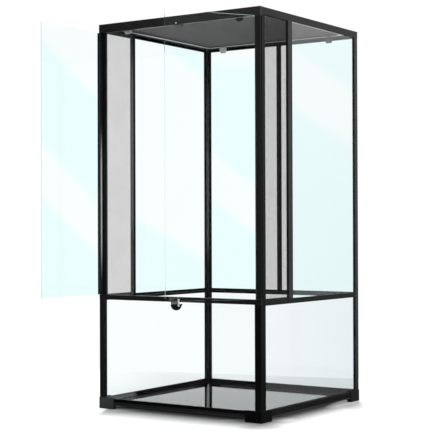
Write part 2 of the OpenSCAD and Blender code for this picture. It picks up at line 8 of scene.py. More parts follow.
import bpy
import numpy as np
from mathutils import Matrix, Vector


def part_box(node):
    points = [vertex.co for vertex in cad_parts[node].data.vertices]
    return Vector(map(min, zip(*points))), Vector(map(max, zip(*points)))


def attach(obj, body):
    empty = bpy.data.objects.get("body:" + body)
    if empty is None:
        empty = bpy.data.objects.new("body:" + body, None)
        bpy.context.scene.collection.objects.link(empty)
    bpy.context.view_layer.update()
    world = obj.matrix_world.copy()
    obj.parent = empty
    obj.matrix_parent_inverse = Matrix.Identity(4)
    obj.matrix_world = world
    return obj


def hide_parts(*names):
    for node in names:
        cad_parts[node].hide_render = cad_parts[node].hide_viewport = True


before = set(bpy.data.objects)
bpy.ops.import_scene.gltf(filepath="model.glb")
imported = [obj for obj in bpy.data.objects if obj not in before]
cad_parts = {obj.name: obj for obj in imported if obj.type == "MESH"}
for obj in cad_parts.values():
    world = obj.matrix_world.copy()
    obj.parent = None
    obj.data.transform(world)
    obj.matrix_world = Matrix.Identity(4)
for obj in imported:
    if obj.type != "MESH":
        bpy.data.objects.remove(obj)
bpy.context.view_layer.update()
scene = bpy.context.scene
scene.view_settings.view_transform = "Standard"


# ---- Camera ------------------------------------------------------------------------
# The camera stands low, off the front right corner, about 4.1 m from the cabinet.
# Its place, turn and focal length come from the straight edges of the frame.
VIEW_POINT = (2.2770, -3.4502, 0.5675)
VIEW_YAW, VIEW_PITCH, VIEW_ROLL = (math.radians(a) for a in (34.088, 0.568, -0.186))
LENS_MM, SENSOR_MM = 105.82, 36.0
NEAREST, FARTHEST = 0.05, 60.0
camera_data = bpy.data.cameras.new("view_camera")
camera_data.lens, camera_data.sensor_width = LENS_MM, SENSOR_MM
camera_data.clip_start, camera_data.clip_end = NEAREST, FARTHEST
camera = bpy.data.objects.new("view_camera", camera_data)
camera.location = VIEW_POINT
camera.rotation_mode = "XYZ"
camera.rotation_euler = (math.pi / 2 + VIEW_PITCH, -VIEW_ROLL, VIEW_YAW)
scene.collection.objects.link(camera)
scene.camera = camera


# ---- Studio: world, lamps and floor ------------------------------------------------
# The cabinet stands on a plain white floor in even white light. The floor ends a little
# behind the cabinet, and darkens softly towards the ground under the frame.
X, Y, Z = 0, 1, 2
WHITE = (1, 1, 1, 1)


def add(tree, kind, ins=(), **attributes):
    """One shader node. ins pairs a socket's name or number with a value or with an output."""
    node = tree.nodes.new(kind)
    for key, value in attributes.items():
        setattr(node, key, value)
    for socket, value in dict(ins).items():
        if isinstance(value, bpy.types.NodeSocket):
            tree.links.new(value, node.inputs[socket])
        else:
            node.inputs[socket].default_value = value
    return node


def calc(tree, operation, *terms, clamp=False):
    """Output of one Math node on its terms, each a number or an output."""
    return add(tree, "ShaderNodeMath", enumerate(terms), operation=operation,
               use_clamp=clamp).outputs[0]


def smooth(tree, value, low, high, to_low=0.0, to_high=1.0):
    """Smooth step of a value from low to high, put out between to_low and to_high."""
    ends = {"Value": value, "From Min": low, "From Max": high, "To Min": to_low, "To Max": to_high}
    return add(tree, "ShaderNodeMapRange", ends, interpolation_type="SMOOTHSTEP").outputs[0]


def along(tree, vector, direction):
    """How far a vector reaches in a direction: the dot product of the two."""
    return add(tree, "ShaderNodeVectorMath", {0: vector, 1: direction},
               operation="DOT_PRODUCT").outputs["Value"]


def parts(tree, vector):
    """The three parts of a vector, to be picked with X, Y and Z."""
    return add(tree, "ShaderNodeSeparateXYZ", {0: vector}).outputs


def mix(tree, mask, first, second):
    """A number that goes from first to second while the mask goes from 0 to 1."""
    return add(tree, "ShaderNodeMix", {0: mask, 2: first, 3: second}).outputs[0]


def blend(tree, mask, first, second):
    """A colour that goes from first to second while the mask goes from 0 to 1."""
    return add(tree, "ShaderNodeMix", {0: mask, 6: first, 7: second}, data_type="RGBA").outputs[2]


def new_material(name):
    """An empty node material and its tree."""
    material = bpy.data.materials.new(name)
    material.use_nodes = True
    material.node_tree.nodes.clear()
    return material, material.node_tree


def new_piece(name, points, faces, material):
    """A mesh piece at the origin, with its place in its points."""
    mesh = bpy.data.meshes.new(name)
    mesh.from_pydata(points, [], faces)
    mesh.materials.append(material)
    piece = bpy.data.objects.new(name, mesh)
    scene.collection.objects.link(piece)
    return piece


# The camera and the glass see plain white. Gloss sees a wall that is bright to the rear
# and above, and all other light comes evenly from all sides.
EVEN_LIGHT = 0.82
TO_REAR_WALL = (0.45, 0.89, 0.0)
world = bpy.data.worlds.new("white_studio")
world.use_nodes = True
scene.world = world
tree = world.node_tree
tree.nodes.clear()
path = add(tree, "ShaderNodeLightPath").outputs
seen = calc(tree, "ADD", path["Is Camera Ray"], path["Is Transmission Ray"], clamp=True)
way = add(tree, "ShaderNodeTexCoord").outputs["Generated"]
upward = smooth(tree, parts(tree, way)[Z], -0.15, 0.25, 0.30, 1.0)
rearward = smooth(tree, along(tree, way, TO_REAR_WALL), 0.0, 0.5, 0.15, 1.0)
plain = mix(tree, path["Is Glossy Ray"], EVEN_LIGHT, calc(tree, "MULTIPLY", rearward, upward))
sky = add(tree, "ShaderNodeBackground", {"Color": mix(tree, seen, plain, 1.0), "Strength": 1.0})
add(tree, "ShaderNodeOutputWorld", {"Surface": sky.outputs[0]})

LAMP_AIM = (0.0, 0.0, 0.7)
for name, place, power, size in (("top_lamp", (0.6, -0.3, 2.9), 9.0, 1.6),
                                 ("right_lamp", (3.0, 0.4, 1.5), 12.0, 1.5)):
    lamp_data = bpy.data.lights.new(name, "AREA")
    lamp_data.energy, lamp_data.size = power, size
    lamp = bpy.data.objects.new(name, lamp_data)
    lamp.location = place
    aim = np.array(LAMP_AIM) - np.array(place)
    lamp.rotation_euler = (math.acos(-aim[Z] / np.linalg.norm(aim)), 0,
                           math.atan2(aim[Y], aim[X]) - math.pi / 2)
    lamp.visible_camera = lamp.visible_transmission = lamp.visible_glossy = False
    scene.collection.objects.link(lamp)

# The soft shadow is a tone of the floor. open_floor is 0 under the frame and 1 past the
# shadow's end. It follows the distance from the frame's outline, which counts for more at
# the sides, so the shadow is shorter there. ACROSS and AWAY are level directions, turned
# 34 degrees from the frame.
FLOOR_CORNERS = ((-4.0, -0.28), (4.0, 1.96), (6.0, -7.0), (-4.0, -7.0))
FRAME_EDGE, SIDE_REACH = 0.303, 0.62
SHADOW_START, SHADOW_END, SHADOW_CURVE = -0.085, 0.165, 1.25
ACROSS, AWAY = (0.83, 0.558, 0.0), (-0.558, 0.83, 0.0)
SHADOW_TONE, FLOOR_TONE = (0.012, 0.012, 0.012, 1), (0.80, 0.80, 0.80, 1)
# Spots of the shadow as (across, away, half width, half depth, how much darker).
# A value below 0 makes the spot lighter.
SHADOW_SPOTS = (
    (0.083, -0.488, 0.085, 0.075, 0.25), (-0.385, -0.200, 0.085, 0.065, 0.14),
    (0.388, -0.075, 0.045, 0.090, 0.20), (-0.330, -0.120, 0.085, 0.045, -0.60),
    (0.010, -0.345, 0.060, 0.030, -0.80), (0.140, -0.335, 0.060, 0.060, -0.55))
# How much white the open floor adds where the camera sees it, and its tone in mirrors.
SEEN_LIFT, MIRRORED_TONE = 0.48, 0.12

floor_white, tree = new_material("floor_white")
place = add(tree, "ShaderNodeTexCoord").outputs["Object"]
xyz = parts(tree, place)
side = calc(tree, "SUBTRACT", calc(tree, "ABSOLUTE", xyz[X]), FRAME_EDGE)
side = calc(tree, "MULTIPLY_ADD", calc(tree, "MAXIMUM", side, 0.0), 1 / SIDE_REACH,
            calc(tree, "MINIMUM", side, 0.0))
front = calc(tree, "SUBTRACT", calc(tree, "ABSOLUTE", xyz[Y]), FRAME_EDGE)
out_x, out_y = calc(tree, "MAXIMUM", side, 0.0), calc(tree, "MAXIMUM", front, 0.0)
outside = calc(tree, "SQRT", calc(tree, "MULTIPLY_ADD", out_x, out_x,
                                  calc(tree, "MULTIPLY", out_y, out_y)))
inside = calc(tree, "MINIMUM", calc(tree, "MAXIMUM", side, front), 0.0)
distance = calc(tree, "ADD", outside, inside)
open_floor = calc(tree, "POWER", smooth(tree, distance, SHADOW_START, SHADOW_END), SHADOW_CURVE)
across, away = along(tree, place, ACROSS), along(tree, place, AWAY)
# No shadow falls past the outer feet, and it is thin beside the rear right one.
slant = calc(tree, "MULTIPLY_ADD", xyz[Y], 0.15, calc(tree, "SUBTRACT", xyz[X], 0.03))
for bare in (smooth(tree, across, 0.395, 0.430), smooth(tree, across, -0.380, -0.412),
             calc(tree, "MULTIPLY", smooth(tree, across, 0.25, 0.345),
                  smooth(tree, slant, 0.255, 0.280, 0.0, 0.52))):
    open_floor = calc(tree, "MAXIMUM", open_floor, bare)
for middle_across, middle_away, wide, deep, darker in SHADOW_SPOTS:
    run = calc(tree, "MULTIPLY", calc(tree, "SUBTRACT", across, middle_across), 1 / wide)
    rise = calc(tree, "MULTIPLY", calc(tree, "SUBTRACT", away, middle_away), 1 / deep)
    reach = calc(tree, "SQRT", calc(tree, "MULTIPLY_ADD", run, run,
                                    calc(tree, "MULTIPLY", rise, rise)))
    open_floor = calc(tree, "MULTIPLY", open_floor, smooth(tree, reach, 0.35, 1.0, 1.0 - darker, 1.0))
matt = add(tree, "ShaderNodeBsdfDiffuse", {"Color": blend(tree, open_floor, SHADOW_TONE, FLOOR_TONE)})
# Seen through glass the floor is a little whiter to the left than to the right: painted light to the
# left and painted shade behind the cabinet to the right.
path = add(tree, "ShaderNodeLightPath").outputs
left_lift = smooth(tree, across, -0.20, -0.45, 0.22, 0.32)
right_dip = calc(tree, "MULTIPLY", smooth(tree, away, 0.90, 0.68, 0.0, 0.09),
                 smooth(tree, across, 0.02, 0.25))
behind = calc(tree, "MULTIPLY", path["Is Transmission Ray"], calc(tree, "SUBTRACT", left_lift, right_dip))
lift = calc(tree, "MULTIPLY", calc(tree, "MULTIPLY_ADD", path["Is Camera Ray"], SEEN_LIFT, behind),
            open_floor)
glow = add(tree, "ShaderNodeEmission", {"Color": WHITE, "Strength": lift})
both = add(tree, "ShaderNodeAddShader", {0: matt.outputs[0], 1: glow.outputs[0]})
dim = add(tree, "ShaderNodeEmission", {"Color": WHITE, "Strength": MIRRORED_TONE})
mirrored = calc(tree, "SUBTRACT", path["Is Glossy Ray"], path["Is Transmission Ray"], clamp=True)
shown = add(tree, "ShaderNodeMixShader", {0: mirrored, 1: both.outputs[0], 2: dim.outputs[0]})
add(tree, "ShaderNodeOutputMaterial", {"Surface": shown.outputs[0]})
floor = new_piece("studio_floor", [(x, y, 0.0) for x, y in FLOOR_CORNERS], [(3, 2, 1, 0)], floor_white)


# ---- Angle frame -------------------------------------------------------------------
# Posts, rails and mullions are rolled steel sections with a satin black powder coat.
# They are keyed together at the corners and screwed through the ledges and the feet.
def new_group(name, inputs, outputs):
    """A shader node group with typed sockets; inputs carry their default value."""
    kinds = {"v": "NodeSocketVector", "f": "NodeSocketFloat", "c": "NodeSocketColor"}
    group = bpy.data.node_groups.new(name, "ShaderNodeTree")
    for label, kind, value in inputs:
        socket = group.interface.new_socket(label, in_out="INPUT", socket_type=kinds[kind])
        if value is not None:
            socket.default_value = value
    for label, kind in outputs:
        group.interface.new_socket(label, in_out="OUTPUT", socket_type=kinds[kind])
    return group, add(group, "NodeGroupInput").outputs


def scaled(tree, vector, gain):
    """A vector or colour times a number."""
    return add(tree, "ShaderNodeVectorMath", {0: vector, 3: gain}, operation="SCALE").outputs[0]


# The coat is cloudy over a hand's width, finely grained like orange peel, with pale
# specks. Its edges, which are softly rounded, are a little paler, partly worn and partly a painted highlight.
CLOUD_SCALE, SPECK_SCALE, EDGE_RADIUS, PEEL_HEIGHT = 9.0, 160.0, 0.0012, 0.0002
coat_group, ins = new_group(
    "satin_coat",
    (("Vector", "v", None), ("Colour", "c", (0.02, 0.02, 0.02, 1)), ("Roughness", "f", 0.4),
     ("Grain", "f", 900.0), ("Relief", "f", 0.1), ("Wear and Sheen", "f", 0.02)),
    (("Colour", "c"), ("Roughness", "f"), ("Normal", "v")))
tree = coat_group
peel = add(tree, "ShaderNodeTexNoise", {"Vector": ins["Vector"], "Scale": ins["Grain"], "Detail": 2.0})
cloud = add(tree, "ShaderNodeTexNoise", {"Vector": ins["Vector"], "Scale": CLOUD_SCALE, "Detail": 4.0})
speck = add(tree, "ShaderNodeTexNoise", {"Vector": ins["Vector"], "Scale": SPECK_SCALE, "Detail": 3.0})
edge_normal = add(tree, "ShaderNodeBevel", {"Radius": EDGE_RADIUS}, samples=6).outputs[0]
facing = along(tree, edge_normal, add(tree, "ShaderNodeNewGeometry").outputs["Normal"])
# Paler edges: partly wear, partly a painted highlight.
edge_wear_and_sheen = calc(tree, "MULTIPLY", smooth(tree, facing, 0.995, 0.80), ins["Wear and Sheen"])
gain = calc(tree, "ADD", smooth(tree, cloud.outputs["Fac"], 0.25, 0.75, 0.86, 1.14),
            smooth(tree, speck.outputs["Fac"], 0.58, 0.75, 0.0, 0.10))
colour = add(tree, "ShaderNodeVectorMath", {0: scaled(tree, ins["Colour"], gain), 1: edge_wear_and_sheen},
             operation="ADD")
rough = calc(tree, "MULTIPLY", ins["Roughness"], smooth(tree, peel.outputs["Fac"], 0.3, 0.7, 0.9, 1.12))
bump = add(tree, "ShaderNodeBump", {"Strength": ins["Relief"], "Distance": PEEL_HEIGHT,
                                    "Height": peel.outputs["Fac"], "Normal": edge_normal})
add(tree, "NodeGroupOutput", {"Colour": colour.outputs[0], "Roughness": rough, "Normal": bump.outputs[0]})


# A soft span is 1 where a value lies between Low and High, and fades to 0 within Soft of them.
span_group, ins = new_group(
    "soft_span",
    (("Value", "f", 0.0), ("Low", "f", 0.0), ("High", "f", 1.0), ("Soft", "f", 0.01)),
    (("Mask", "f"),))
tree = span_group
middle = calc(tree, "MULTIPLY", calc(tree, "ADD", ins["Low"], ins["High"]), 0.5)
half = calc(tree, "MULTIPLY", calc(tree, "SUBTRACT", ins["High"], ins["Low"]), 0.5)
off = calc(tree, "ABSOLUTE", calc(tree, "SUBTRACT", ins["Value"], middle))
add(tree, "NodeGroupOutput", {"Mask": smooth(tree, off, calc(tree, "ADD", half, ins["Soft"]), half)})


def coated(name, colour, roughness=0.38, specular=0.12, grain=900.0, relief=0.12, wear_and_sheen=0.03, zones=(),
           **sockets):
    """Principled material on the satin_coat group; further sockets are set by name. A zone is
    (tone, ((axis, low, high, soft), ...)): painted light as a paler tone, or painted shade as a darker
    one, inside a box with soft sides, whose mask is the product of its soft spans. A zone with a third
    item is a painted reflection, shown only where the surface is seen mirrored in another one."""
    material, tree = new_material(name)
    place = add(tree, "ShaderNodeTexCoord").outputs["Object"]
    coat = add(tree, "ShaderNodeGroup", {
        "Vector": place, "Colour": (*colour, 1), "Roughness": roughness, "Grain": grain,
        "Relief": relief, "Wear and Sheen": wear_and_sheen}, node_tree=coat_group).outputs
    shade = coat["Colour"]
    xyz = parts(tree, place) if zones else None
    for tone, spans, *mirrored in zones:
        mask = 1.0
        if mirrored:
            mask = calc(tree, "MINIMUM", add(tree, "ShaderNodeLightPath").outputs["Glossy Depth"], 1.0)
        for axis, low, high, soft in spans:
            span = add(tree, "ShaderNodeGroup", {"Value": xyz[axis], "Low": low, "High": high, "Soft": soft},
                       node_tree=span_group)
            mask = calc(tree, "MULTIPLY", mask, span.outputs["Mask"])
        shade = blend(tree, mask, shade, (*tone, 1))
    body = add(tree, "ShaderNodeBsdfPrincipled", {
        "Base Color": shade, "Roughness": coat["Roughness"], "Normal": coat["Normal"],
        "Specular IOR Level": specular, **sockets})
    add(tree, "ShaderNodeOutputMaterial", {"Surface": body.outputs[0]})
    return material


def finish_nodes(material, *names):
    """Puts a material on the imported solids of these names."""
    for name in names:
        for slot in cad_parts[name].material_slots:
            slot.material = material


def grey(tone):
    """A neutral colour."""
    return tone, tone, tone


# Sections as (label, tone, roughness, specular, nodes). The tones are faintly blue.
# Each section has its own tone of the one coat, as painted light and shade.
for label, tone, rough, shine, names in (
        ("front", 0.003, 0.24, 0.12, ("post_front_right", "jamb_channel_right")),
        ("sill", 0.009, 0.30, 0.14, ("sill_rail", "post_front_left", "jamb_channel_left")),
        ("right", 0.009, 0.26, 0.12, ("mid_rail_right", "vent_frame_right")),
        ("rear_right", 0.032, 0.28, 0.14, ("mullion_right", "post_rear_right")),
        ("top_right", 0.011, 0.34, 0.18, ("top_rail_right",)),
        ("inner", 0.0035, 0.26, 0.12, ("top_rail_left", "top_rail_rear", "bottom_rail_left",
                                       "bottom_rail_rear")),
        ("middle", 0.009, 0.28, 0.10, ("mid_rail_left", "mid_rail_rear", "mullion_rear"))):
    finish_nodes(coated(f"coat_black_{label}", (tone, tone * 1.02, tone * 1.06), rough, shine), *names)

# The rear left post is paler above as painted light, with a painted highlight on its outer edge.
# Its inner corner comes up light where the floor pane mirrors it: a painted reflection.
MIRRORED_INNER_CORNER = ((X, -0.3012, -0.2866, 0.0003), (Y, 0.2845, 0.3100, 0.0005), (Z, 0.0, 0.16, 0.01))
finish_nodes(coated("coat_black_corner", (0.036, 0.037, 0.037), 0.26, 0.12, zones=(
    ((0.085, 0.088, 0.088), ((Z, 0.56, 1.0, 0.12),)),
    ((0.20, 0.205, 0.205), ((X, -0.310, -0.2955, 0.002), (Y, 0.298, 0.310, 0.001), (Z, 0.58, 0.78, 0.16))),
    (grey(0.95), MIRRORED_INNER_CORNER, True))), "post_rear_left")
# The header is paler from its middle to the right, as painted light.
finish_nodes(coated("coat_black_header", (0.0135, 0.0137, 0.0140), 0.30, 0.14, zones=(
    ((0.026, 0.0265, 0.027), ((X, -0.025, 0.40, 0.04),)),)), "header")
# The left mullion is toned pale as painted light, with a painted highlight on its front edge over
# the middle of its height and painted shade behind it. The bar of the vent frame beside it is toned alike.
finish_nodes(coated("coat_black_left", (0.060, 0.061, 0.063), 0.30, 0.16, zones=(
    ((0.15, 0.152, 0.155), ((Y, -0.150, -0.1375, 0.0005), (Z, 0.62, 1.05, 0.10))),
    ((0.010, 0.0102, 0.0105), ((Y, -0.1372, -0.10, 0.0005),)))), "mullion_left", "vent_frame_left")
# The bottom rails are paler along the lower edge as painted light, and the front one is dark along
# the upper as painted shade.
finish_nodes(coated("coat_black_front_rail", (0.014, 0.0145, 0.015), 0.30, 0.12, zones=(
    (grey(0.001), ((Z, 0.0240, 0.060, 0.0015),)),
    (grey(0.034), ((Z, 0.0, 0.0145, 0.001),)))), "bottom_rail_front")
finish_nodes(coated("coat_black_right_rail", (0.009, 0.0092, 0.0095), 0.26, 0.12, zones=(
    (grey(0.060), ((Z, 0.0, 0.0142, 0.001),)),)), "bottom_rail_right")


# ---- Feet, keys and screws ---------------------------------------------------------
# The four feet are moulded black plastic, wrapped round the bottom corners and held by
# pan screws that run up into plastic keys inside the posts.
# The feet are toned one by one as painted light and shade: the left pair lightest, the near one darkest.
for label, tone, shine, names in (
        ("left", 0.041, 0.25, ("foot_front_left", "foot_rear_left")),
        ("near", 0.003, 0.09, ("foot_front_right",)),
        ("right", 0.010, 0.20, ("foot_rear_right",))):
    finish_nodes(coated(f"moulded_black_{label}", (tone, tone, tone * 1.05), 0.40, shine, grain=1500.0,
                        relief=0.2, wear_and_sheen=0.02), *names)
# The keys are painted light where the floor pane mirrors them: a painted reflection.
MIRRORED_KEY = ((X, -0.31, -0.28, 0.001), (Y, 0.28, 0.31, 0.001))
finish_nodes(coated("moulded_black_keys", (0.012, 0.012, 0.0125), 0.40, 0.20, grain=1500.0, relief=0.2,
                    wear_and_sheen=0.0, zones=((grey(0.95), MIRRORED_KEY, True),)), "corner_keys")
zinc = coated("bright_zinc", (0.80, 0.80, 0.81), 0.35, 0.5, grain=2400.0, relief=0.05, wear_and_sheen=0.01,
              Metallic=0.3)
finish_nodes(zinc, "frame_screws", "left_door_pins", "right_door_pins")
felt = coated("grey_felt", (0.15, 0.15, 0.152), 0.9, 0.1, grain=1200.0, relief=0.5, wear_and_sheen=0.0)
finish_nodes(felt, "door_stop")


# ---- Fixed panes -------------------------------------------------------------------
# Polished 4 mm glass, bonded to the frame on tape. The upper panes have a faint cyan
# body colour with paler slanting streaks, which are painted reflections; the tub's panes are nearly
# colourless.
streak_group, ins = new_group(
    "pale_streak",
    (("Vector", "v", None), ("Along", "v", (1.0, 0.0, 0.0)), ("Middle", "f", 1.0), ("Slope", "f", 0.3),
     ("Half Width", "f", 0.1), ("Soft", "f", 0.03)),
    (("Mask", "f"),))
tree = streak_group
run = along(tree, ins["Vector"], ins["Along"])
middle_line = calc(tree, "MULTIPLY_ADD", run, ins["Slope"], ins["Middle"])
off = calc(tree, "ABSOLUTE", calc(tree, "SUBTRACT", parts(tree, ins["Vector"])[Z], middle_line))
near_edge = calc(tree, "SUBTRACT", ins["Half Width"], ins["Soft"])
far_edge = calc(tree, "ADD", ins["Half Width"], ins["Soft"])
add(tree, "NodeGroupOutput", {"Mask": smooth(tree, off, far_edge, near_edge)})

# A pane is very slightly hazy and wavy, and its ground edges are matt.
HAZE_SCALE, WAVE_SCALE, WAVE_HEIGHT, GROUND_ROUGHNESS = 5.0, 2.2, 0.0005, 0.25
pane_group, ins = new_group(
    "pane_surface",
    (("Vector", "v", None), ("Tint", "c", WHITE), ("Pale", "c", WHITE), ("Streak", "f", 0.0),
     ("Faded", "c", WHITE), ("Fade", "f", 0.0), ("Ground", "c", (0.75, 0.80, 0.80, 1)), ("Edge", "f", 0.0)),
    (("Colour", "c"), ("Roughness", "f"), ("Normal", "v")))
tree = pane_group
haze = add(tree, "ShaderNodeTexNoise", {"Vector": ins["Vector"], "Scale": HAZE_SCALE, "Detail": 3.0})
wave = add(tree, "ShaderNodeTexNoise", {"Vector": ins["Vector"], "Scale": WAVE_SCALE, "Detail": 1.0})
tone = blend(tree, ins["Streak"], ins["Tint"], ins["Pale"])
tone = blend(tree, ins["Fade"], tone, ins["Faded"])
tone = blend(tree, ins["Edge"], tone, ins["Ground"])
colour = scaled(tree, tone, smooth(tree, haze.outputs["Fac"], 0.3, 0.7, 0.996, 1.0))
bump = add(tree, "ShaderNodeBump", {"Strength": 0.02, "Distance": WAVE_HEIGHT, "Height": wave.outputs["Fac"]})
rough = calc(tree, "MULTIPLY_ADD", ins["Edge"], GROUND_ROUGHNESS,
             smooth(tree, haze.outputs["Fac"], 0.4, 0.8, 0.0, 0.012))
add(tree, "NodeGroupOutput", {"Colour": colour, "Roughness": rough, "Normal": bump.outputs[0]})


def streak_mask(tree, place, direction, middle, slope, half, soft):
    """Mask of a slanting streak: 1 within half of the line height = middle + slope * run."""
    return add(tree, "ShaderNodeGroup", {
        "Vector": place, "Along": direction, "Middle": middle, "Slope": slope, "Half Width": half,
        "Soft": soft}, node_tree=streak_group).outputs["Mask"]


def glazed(name, tint, pale=(1, 1, 1), streaks=(), faded=(1, 1, 1), fade=None, ground=None, ior=1.2):
    """Glass on the pane_surface group. streaks are (along, middle, slope, half width, soft) of each
    pale streak, a painted reflection, in metres. fade is such a streak, or (along, low, high), where the
    tint turns to faded. ground is the colour of matt ground edges and the direction the pane runs in.
    Rays from the lamps pass straight through."""
    material, tree = new_material(name)
    seat = add(tree, "ShaderNodeTexCoord").outputs
    place = seat["Object"]
    ins = {"Vector": place, "Tint": (*tint, 1), "Pale": (*pale, 1), "Faded": (*faded, 1)}
    for streak in streaks:
        ins["Streak"] = calc(tree, "MAXIMUM", ins.get("Streak", 0.0), streak_mask(tree, place, *streak))
    if fade and len(fade) == 5:
        ins["Fade"] = streak_mask(tree, place, *fade)
    elif fade:
        direction, low, high = fade
        ins["Fade"] = smooth(tree, along(tree, place, direction), low, high)
    if ground:
        colour, direction = ground
        turned = calc(tree, "ABSOLUTE", along(tree, seat["Normal"], direction))
        ins["Ground"], ins["Edge"] = (*colour, 1), smooth(tree, turned, 0.6, 0.8)
    pane = add(tree, "ShaderNodeGroup", ins, node_tree=pane_group).outputs
    glass = add(tree, "ShaderNodeBsdfPrincipled", {
        "Base Color": pane["Colour"], "Roughness": pane["Roughness"], "Normal": pane["Normal"],
        "IOR": ior, "Specular IOR Level": 0.5, "Transmission Weight": 1.0, "Metallic": 0.0})
    clear = add(tree, "ShaderNodeBsdfTransparent", {"Color": pane["Colour"]})
    lamp_ray = add(tree, "ShaderNodeLightPath").outputs["Is Shadow Ray"]
    surface = add(tree, "ShaderNodeMixShader", {0: lamp_ray, 1: glass.outputs[0], 2: clear.outputs[0]})
    add(tree, "ShaderNodeOutputMaterial", {"Surface": surface.outputs[0]})
    return material


CYAN, PALE, NEARLY_CLEAR = (0.839, 1.0, 1.0), (0.95, 1.0, 1.0), (0.985, 0.985, 0.99)
EAST, WEST, NORTH = (1.0, 0.0, 0.0), (-1.0, 0.0, 0.0), (0.0, 1.0, 0.0)
THIN_GLASS = 1.12
finish_nodes(glazed("glass_left_wall", CYAN, PALE, ((NORTH, 0.881, -0.37, 0.322, 0.025),), ior=THIN_GLASS),
             "upper_pane_left")
finish_nodes(glazed("glass_right_wall", (0.845, 1.0, 1.0), PALE, ((NORTH, 1.001, -0.255, 0.093, 0.03),),
                    fade=(NORTH, 1.214, 0.159, 0.050, 0.006), ior=1.45), "upper_pane_right")
finish_nodes(glazed("glass_rear_left", CYAN, PALE, ((EAST, 0.573, -0.65, 0.085, 0.025),
                                                    (EAST, 1.178, -0.07, 0.035, 0.045)),
                    faded=NEARLY_CLEAR, fade=(EAST, -0.107, -0.062), ior=THIN_GLASS), "upper_pane_rear_left")
finish_nodes(glazed("glass_rear_right", NEARLY_CLEAR, ior=THIN_GLASS), "upper_pane_rear_right")
finish_nodes(glazed("glass_tub_front", (0.985, 1.0, 1.0), ior=THIN_GLASS), "lower_pane_front")
finish_nodes(glazed("glass_tub_left", (0.975, 1.0, 1.0), ior=THIN_GLASS), "lower_pane_left")
finish_nodes(glazed("glass_tub_rear", (0.935, 0.97, 0.97)), "lower_pane_rear")
finish_nodes(glazed("glass_tub_right", (0.965, 0.98, 0.99), faded=(0.900, 0.942, 0.952),
                    fade=(NORTH, -0.25, 0.28), ior=1.30), "lower_pane_right")
# The floor pane is tinted dark as painted shade from the ground under it, and less dark to the left as
# painted light.
finish_nodes(glazed("glass_floor", (0.12, 0.124, 0.124), faded=(0.22, 0.225, 0.225),
                    fade=(WEST, 0.05, 0.29), ior=1.25), "floor_pane")

rubber = coated("matt_rubber", (0.012, 0.012, 0.012), 0.75, 0.2, grain=1800.0, relief=0.3, wear_and_sheen=0.0)
finish_nodes(rubber, "glazing_tape", "screen_spline")


# ---- Floor seal --------------------------------------------------------------------
# A bead of black rubber closes the joint between the floor pane and three walls of the
# tub. It was smoothed to a hollow by hand, and is wider along the rear wall.
SEAL_HALF, SEAL_BASE = 0.2957, 0.0222
SEAL_HIGH_FRONT, SEAL_HIGH_REAR = 0.0125, 0.0145
SEAL_WIDE_SIDE, SEAL_WIDE_REAR = 0.010, 0.021


def bead_run(half, base, low, high, side, rear, steps=8):
    """Points and faces of a bead with a hollow profile along the left, rear and right side of a
    square of half side `half`, on the height `base`. Its skin is inset = w * (1 - cos t), height =
    h * (1 - sin t) for t from 0 to 90 degrees, with w = side or rear, and h = low in front, high
    behind. It is mitred behind and closed in front."""
    turn = np.linspace(0.0, np.pi / 2, steps)
    inset = np.append(1.0 - np.cos(turn), 0.0)
    height = np.append(1.0 - np.sin(turn), 0.0)
    x, y = half - side * inset, half - rear * inset
    front = np.full_like(x, -half)
    z_front, z_rear = base + low * height, base + high * height
    points = np.stack([np.stack([-x, front, z_front], -1), np.stack([-x, y, z_rear], -1),
                       np.stack([x, y, z_rear], -1), np.stack([x, front, z_front], -1)])
    count = steps + 1
    leg, step = np.meshgrid(np.arange(3), np.arange(count), indexing="ij")
    beside = (step + 1) % count
    quads = np.stack([leg * count + step, (leg + 1) * count + step, (leg + 1) * count + beside,
                      leg * count + beside], -1).reshape(-1, 4)
    ends = [np.arange(count).tolist(), (3 * count + np.arange(count)[::-1]).tolist()]
    return points.reshape(-1, 3).tolist(), quads.tolist() + ends


# The bead has painted light at the front of the left wall.
bead_rubber = coated("bead_rubber", grey(0.004), 0.8, 0.04, grain=700.0, relief=0.1, wear_and_sheen=0.0, zones=(
    ((0.16, 0.16, 0.162), ((X, -0.40, -0.27, 0.002), (Y, -0.40, -0.145, 0.030))),))
seal = new_piece("floor_seal", *bead_run(SEAL_HALF, SEAL_BASE, SEAL_HIGH_FRONT, SEAL_HIGH_REAR,
                                         SEAL_WIDE_SIDE, SEAL_WIDE_REAR), bead_rubber)
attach(seal, "cabinet")


# ---- Vent strips -------------------------------------------------------------------
# Beside the front posts each side wall has a mesh strip: thin drawn wires crossed at
# 2 mm, held in the groove of a black frame.
WIRE_PITCH, WIRE_RADIUS = 0.002, 0.000175


